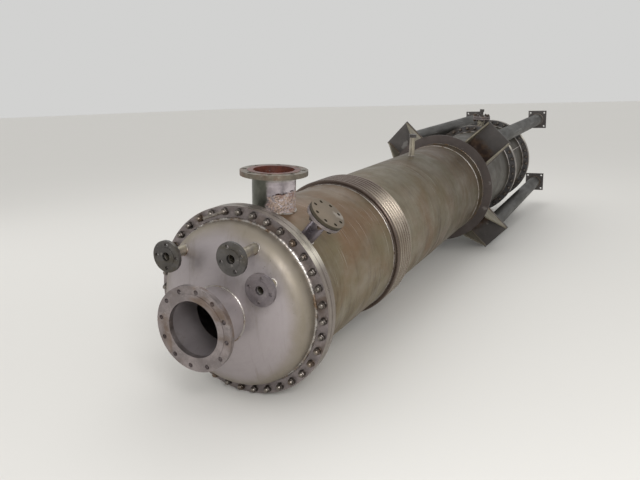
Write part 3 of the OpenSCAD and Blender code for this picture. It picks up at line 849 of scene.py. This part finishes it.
def head_weld(node, centre, pipe_radius, half_width, toward):
    """Bead where a pipe along the vessel's axis meets a dished end, found by rays from outside it."""
    faces = [tuple(face.vertices) for face in frame["nodes"][node].data.polygons]
    tree = BVHTree.FromPolygons(corners(node), faces)
    points = []
    for turn in turns_round(pipe_radius):
        spot = Vector((centre.x + pipe_radius * math.cos(turn), -toward * FAR,
                       centre.z + pipe_radius * math.sin(turn)))
        hit = tree.ray_cast(spot, ALONG * toward)[0]
        if hit is None:
            raise RuntimeError("a nozzle misses its dished end")
        points.append(hit)
    return bead(points, half_width, True)


class OBJECT_OT_run_shell_welds(bpy.types.Operator):
    """Runs the welds round and along the shells, heads and bellows"""
    bl_idname = "object.run_shell_welds"
    bl_label = "Shell welds"

    def execute(self, context):
        sizes = context.scene.weld_sizes
        seam, parts = sizes.seam, []
        for node, end, share in (("head_girth_flange", 0, 1.8), ("front_tubesheet", 1, 1),
                                 ("rear_tubesheet", 0, 1), ("rear_channel_flange", 1, 1),
                                 ("rear_end_flange", 0, 1), ("rear_head_flange", 1, 1)):
            rim = reach(node)[end].y
            parts.append(ring_weld(SHELL_RADIUS + seam * CLEAR, rim, sizes.fillet * share))
        for node in ("bellows_ring_front", "bellows_ring_back"):
            parts += [ring_weld(SHELL_RADIUS, end.y, seam * 0.6) for end in reach(node)]
        inner = SHELL_RADIUS - seam * SUNK
        parts.append(ring_weld(inner, reach("support_ring")[0].y - SEAM_AHEAD, seam))
        for node, degrees in LONG_SEAMS:
            low, high = reach(node)
            line = outward(math.radians(degrees)) * inner
            parts.append(straight_weld(line + ALONG * (low.y + SEAM_GAP),
                                       line + ALONG * (high.y - SEAM_GAP), seam))
        settle(join(parts), "shell_welds", bright_weld(), WELD_EDGES)
        return {"FINISHED"}


class OBJECT_OT_run_nozzle_welds(bpy.types.Operator):
    """Runs the welds at the feet and flanges of the nozzles"""
    bl_idname = "object.run_nozzle_welds"
    bl_label = "Nozzle welds"

    def execute(self, context):
        fillet = context.scene.weld_sizes.fillet
        slight = fillet * SLIGHT
        parts = []
        heads = [("inlet_bolts", "inlet_pipe", "inlet_flange", fillet)]
        heads += [("head_nozzle_%d_bolts" % i, "head_nozzle_pipe_%d" % i,
                   "head_nozzle_flange_%d" % i, slight) for i in (1, 2, 3)]
        for mount, pipe, flange, half in heads:
            place = heading(mount)[0]
            low, high = reach(pipe)
            radius = (high.x - low.x) / 2
            parts.append(head_weld("domed_head", place, radius, half, 1))
            place.y = reach(flange)[1].y
            parts.append(round_weld(place, RIGHT, UPWARD, radius, half))
        low, high = reach("outlet_pipe")
        parts.append(head_weld("rear_head", Vector(), (high.x - low.x) / 2, fillet, -1))
        for pipe, flange, half in (("top_nozzle_pipe", "top_nozzle_flange", fillet),
                                   ("angled_nozzle_pipe", "angled_nozzle_flange", slight),
                                   ("vent_pipe", None, slight),
                                   ("rear_nozzle_pipe", "rear_nozzle_flange", slight)):
            low, high = reach(pipe)
            middle, radius = (low + high) / 2, (high.y - low.y) / 2
            direction = Vector((middle.x, 0, middle.z)).normalized()
            parts.append(saddle_weld(middle.y, direction, radius, half))
            if flange:
                base = span_along(direction, flange)[0]
                parts.append(round_weld(direction * base + ALONG * middle.y, ALONG.cross(direction), ALONG,
                                        radius, half))
        settle(join(parts), "nozzle_welds", bright_weld(), WELD_EDGES)
        return {"FINISHED"}


class OBJECT_OT_run_support_welds(bpy.types.Operator):
    """Runs the welds of the support ring, lugs, legs and feet"""
    bl_idname = "object.run_support_welds"
    bl_label = "Support welds"

    def execute(self, context):
        half = context.scene.weld_sizes.fillet
        low, high = reach("support_ring")
        clear = SHELL_RADIUS + half * CLEAR
        parts = [ring_weld(clear, low.y, half * 1.3), ring_weld(clear, high.y, half)]
        for i in NUMBERS:
            out = outward(math.radians(90 * i - 45))
            side = out.cross(ALONG)
            plate = ALONG * reach("lug_plate_%d" % i)[0].y
            ends = reach("leg_%d" % i)
            middle = (ends[0] + ends[1]) / 2
            for end in ends:
                parts.append(round_weld(Vector((middle.x, end.y, middle.z)), RIGHT, UPWARD,
                                        (ends[1].x - ends[0].x) / 2, half))
            for sign in (-1, 1):
                for face in (-1, 1):
                    off = side * (sign * GUSSET_OFF + face * GUSSET_HALF)
                    rise = math.sqrt(SHELL_RADIUS ** 2 - off.length_squared)
                    foot = out * rise + off
                    parts.append(straight_weld(foot + ALONG * (high.y + 0.004),
                                               foot + plate - ALONG * 0.004, half * SLIGHT))
                    parts.append(straight_weld(out * (rise + 0.01) + off + plate,
                                               out * GUSSET_REACH + off + plate, half * SLIGHT))
        steel = finish("support_weld", weld_bead, tone(122, 114, 106), 0.15)
        settle(join(parts), "support_welds", steel, WELD_EDGES)
        return {"FINISHED"}


# Finishes of the CAD nodes

# Torn lining on the top nozzle: its upper edge above the vessel's axis, and where its side starts, which
# also bounds the painted shade on the pipe's left side
LINING_TOP = 0.485
LINING_SIDE = 0.025
# Radius within which the lug plates turn darker brown near the shell
SCORCHED = 0.58
# Heights over the shell between which soiling and painted shade in the hollows turn to bright steel, on the
# bellows and on their rings
BELLOWS_CLEAN = (SHELL_RADIUS + 0.018, SHELL_RADIUS + 0.0255)
RINGS_CLEAN = (SHELL_RADIUS, SHELL_RADIUS + 0.004)
# Width of the rust on the open flange's face
RUSTY_FACE = 0.029


class OBJECT_OT_finish_vessel(bpy.types.Operator):
    """Gives the shells, heads, bellows, flanges and gaskets their steel"""
    bl_idname = "object.finish_vessel"
    bl_label = "Vessel finishes"

    def execute(self, context):
        brown = paint("brown")
        start = reach("expansion_bellows")[0].y
        dress(finish("rolled_shell", rolled_shell), "front_shell", "main_shell", "rear_channel")
        dress(finish("satin_end", satin_end), "domed_head", "rear_head", "inlet_pipe", "outlet_pipe")
        dress(finish("girth_steel", flange_steel, GIRTH_RADIUS, paint("flange"), shade(brown, 0.55)),
              "head_girth_flange", "front_tubesheet")
        # Darker copy of the girth steel for the rear joints: painted shade.
        dress(finish("rear_girth_steel", flange_steel, GIRTH_RADIUS, tone(112, 110, 110),
                     shade(brown, 0.5)),
              "rear_tubesheet", "rear_channel_flange", "rear_end_flange", "rear_head_flange")
        dress(finish("gasket_edge", gasket_edge), "front_gasket", "rear_gasket", "rear_end_gasket")
        dress(finish("bellows_steel", polished, *BELLOWS_CLEAN, shade(brown, 0.35), start),
              "expansion_bellows")
        dress(finish("ring_steel", polished, *RINGS_CLEAN, shade(brown, 0.6), start),
              "bellows_ring_front", "bellows_ring_back")
        return {"FINISHED"}


class OBJECT_OT_finish_nozzles(bpy.types.Operator):
    """Gives the nozzles, their flanges and covers their steel"""
    bl_idname = "object.finish_nozzles"
    bl_label = "Nozzle finishes"

    def execute(self, context):
        brown = paint("brown")
        dress(finish("top_pipe_steel", pipe_steel, paint("bright"),
                     (TOP_PLACE, TOP_DIRECTION, LINING_TOP, LINING_SIDE),
                     (TOP_PLACE, TOP_DIRECTION, TOP_BORE)), "top_nozzle_pipe")
        dress(finish("tinted_pipe_steel", pipe_steel, tone(158, 150, 158)), "angled_nozzle_pipe")
        dress(finish("nozzle_pipe_steel", pipe_steel, tone(194, 185, 166)),
              "rear_nozzle_pipe", "head_nozzle_pipe_1", "head_nozzle_pipe_2", "head_nozzle_pipe_3",
              "vent_pipe")
        dress(finish("nozzle_flange_steel", flange_steel, None, paint("flange"), shade(brown, 0.75)),
              "angled_nozzle_flange", "rear_nozzle_flange", "rear_nozzle_blind", "inlet_flange",
              "outlet_flange")
        dress(finish("pale_flange_steel", flange_steel, None, paint("pale_flange"),
                     shade(paint("flange"), 0.8)), "head_nozzle_flange_1")
        dress(finish("open_flange_steel", flange_steel, None, tone(126, 118, 106),
                     blended(paint("rust"), brown, 0.5), (TOP_PLACE, TOP_DIRECTION, TOP_BORE + RUSTY_FACE)),
              "top_nozzle_flange")
        dress(finish("dark_flange_steel", flange_steel, None, paint("dark_flange"),
                     shade(paint("olive"), 0.4)), "head_nozzle_flange_2", "head_nozzle_flange_3")
        direction, _, _, face = nozzle_line("angled_nozzle")
        dress(finish("cover_steel", plain_steel, paint("cover"), (1, 1, 1), 0.5, 0.7, 0.5,
                     (direction, face)), "angled_nozzle_blind")
        return {"FINISHED"}


class OBJECT_OT_finish_supports(bpy.types.Operator):
    """Gives the support ring, lugs, legs and feet their steel"""
    bl_idname = "object.finish_supports"
    bl_label = "Support finishes"

    def execute(self, context):
        dress(finish("ring_plate_steel", plain_steel, paint("ring"), (1, 6, 1), 0.42, 0.62), "support_ring")
        dress(finish("lug_steel", plain_steel, paint("support"), (1, 6, 1), 0.42, 0.62, 0.7, None,
                     SCORCHED), *four("lug_plate"))
        dress(finish("gusset_steel", plain_steel, paint("gusset"), (1, 3, 1), 0.42, 0.62),
              *four("lug_gussets"))
        dress(finish("foot_steel", plain_steel, paint("support"), (1, 6, 1), 0.42, 0.62),
              "vent_cap", "rear_nozzle_plug", *four("foot_plate"))
        dress(finish("leg_steel", plain_steel, paint("leg"), (9, 0.25, 9), 0.42, 0.6, 0.45), *four("leg"))
        return {"FINISHED"}


# Stage

# The photograph's camera on the vessel's axes: where it stands, where it looks, and its upward side
EYE = Vector((1.6618, -2.3191, 1.0199))
AHEAD = Vector((-0.45041, 0.85729, -0.24935))
CAMERA_UP = Vector((-0.07898, 0.23993, 0.96757))
# Strength of the pale surroundings as light, and as what camera and steel see
LIGHTING = 1.0
SEEN = 0.74


def lamp(name, place, target, power, size):
    data = bpy.data.lights.new(name, "AREA")
    data.energy = power
    data.size = size
    obj = bpy.data.objects.new(name, data)
    obj.location = place
    obj.rotation_euler = (Vector(target) - Vector(place)).to_track_quat("-Z", "Y").to_euler()
    bpy.context.scene.collection.objects.link(obj)


class OBJECT_OT_set_stage(bpy.types.Operator):
    """Sets the floor, the lamps, the pale surroundings and the camera"""
    bl_idname = "object.set_stage"
    bl_label = "Stage"

    def execute(self, context):
        scene = context.scene
        stage = scene.stage_settings
        clear_selection()
        bpy.ops.mesh.primitive_plane_add(size=160, location=(0, 30, 0))
        floor = context.active_object
        floor.name = "floor"
        floor.data.transform(floor.matrix_world)
        floor.matrix_world = Matrix.Identity(4)
        f = Finish("floor_paint", metal=0.0, rough=0.85)
        pale, clouds = tuple(stage.floor), f.spread(0, 0.05, 0.7, detail=3)
        floor.data.materials.append(f.close(f.mix(clouds, pale, shade(pale, 0.9))))

        world = bpy.data.worlds.new("surroundings")
        scene.world = world
        world.use_nodes = True
        nodes, links = world.node_tree.nodes, world.node_tree.links
        rays = nodes.new("ShaderNodeLightPath").outputs
        seen = rays["Is Camera Ray"]
        for kind in ("Is Glossy Ray", "Is Transmission Ray"):
            either = nodes.new("ShaderNodeMath")
            either.operation = "MAXIMUM"
            links.new(seen, either.inputs[0])
            links.new(rays[kind], either.inputs[1])
            seen = either.outputs[0]
        background = nodes["Background"]
        background.inputs["Color"].default_value = (0.87, 0.87, 0.86, 1)
        strength = nodes.new("ShaderNodeMapRange")
        strength.inputs["To Min"].default_value = LIGHTING
        strength.inputs["To Max"].default_value = SEEN
        links.new(seen, strength.inputs["Value"])
        links.new(strength.outputs[0], background.inputs["Strength"])

        camera_data = bpy.data.cameras.new("camera")
        camera_data.lens = stage.lens
        camera_data.sensor_width = 36
        camera = bpy.data.objects.new("camera", camera_data)
        scene.collection.objects.link(camera)
        scene.camera = camera
        turn = LYING.to_3x3()
        ahead, upward = (turn @ AHEAD).normalized(), (turn @ CAMERA_UP).normalized()
        sides = Matrix((ahead.cross(upward).normalized(), upward, -ahead)).transposed()
        camera.matrix_world = Matrix.Translation(LYING @ EYE) @ sides.to_4x4()

        lamp("key_lamp", (3.2, -6.2, 3.0), (0, -1.5, 0.6), stage.key_power, 1.6)
        lamp("top_lamp", (-1.0, 1.5, 5.5), (0, 0.8, 0.4), stage.top_power, 5.0)
        lamp("side_lamp", (-5.5, -3.0, 2.6), (0, -1.0, 0.5), stage.top_power * 0.35, 3.0)

        scene.view_settings.view_transform = "Standard"
        return {"FINISHED"}


GROUPS = (("bolt_sizes", BoltSizes), ("weld_sizes", WeldSizes), ("steel_colours", SteelColours),
          ("stage_settings", StageSettings))
STEPS = (OBJECT_OT_finish_vessel, OBJECT_OT_finish_nozzles, OBJECT_OT_finish_supports,
         OBJECT_OT_fit_girth_studs, OBJECT_OT_fit_cover_studs, OBJECT_OT_run_shell_welds,
         OBJECT_OT_run_nozzle_welds, OBJECT_OT_run_support_welds, OBJECT_OT_set_stage)


class VIEW3D_PT_exchanger(bpy.types.Panel):
    """Buttons and sizes of the heat exchanger's looks"""
    bl_label = "Exchanger"
    bl_space_type = "VIEW_3D"
    bl_region_type = "UI"
    bl_category = "Exchanger"

    def draw(self, context):
        for name, group in GROUPS:
            box = self.layout.box()
            for key in group.__annotations__:
                box.prop(getattr(context.scene, name), key)
        for step in STEPS:
            self.layout.operator(step.bl_idname)


def register():
    for name, group in GROUPS:
        bpy.utils.register_class(group)
        setattr(bpy.types.Scene, name, bpy.props.PointerProperty(type=group))
    for kind in (*STEPS, VIEW3D_PT_exchanger):
        bpy.utils.register_class(kind)


def unregister():
    for kind in (VIEW3D_PT_exchanger, *reversed(STEPS)):
        bpy.utils.unregister_class(kind)
    for name, group in reversed(GROUPS):
        delattr(bpy.types.Scene, name)
        bpy.utils.unregister_class(group)


def main():
    register()
    for step in STEPS:
        family, action = step.bl_idname.split(".")
        getattr(getattr(bpy.ops, family), action)()


if __name__ == "__main__":
    main()
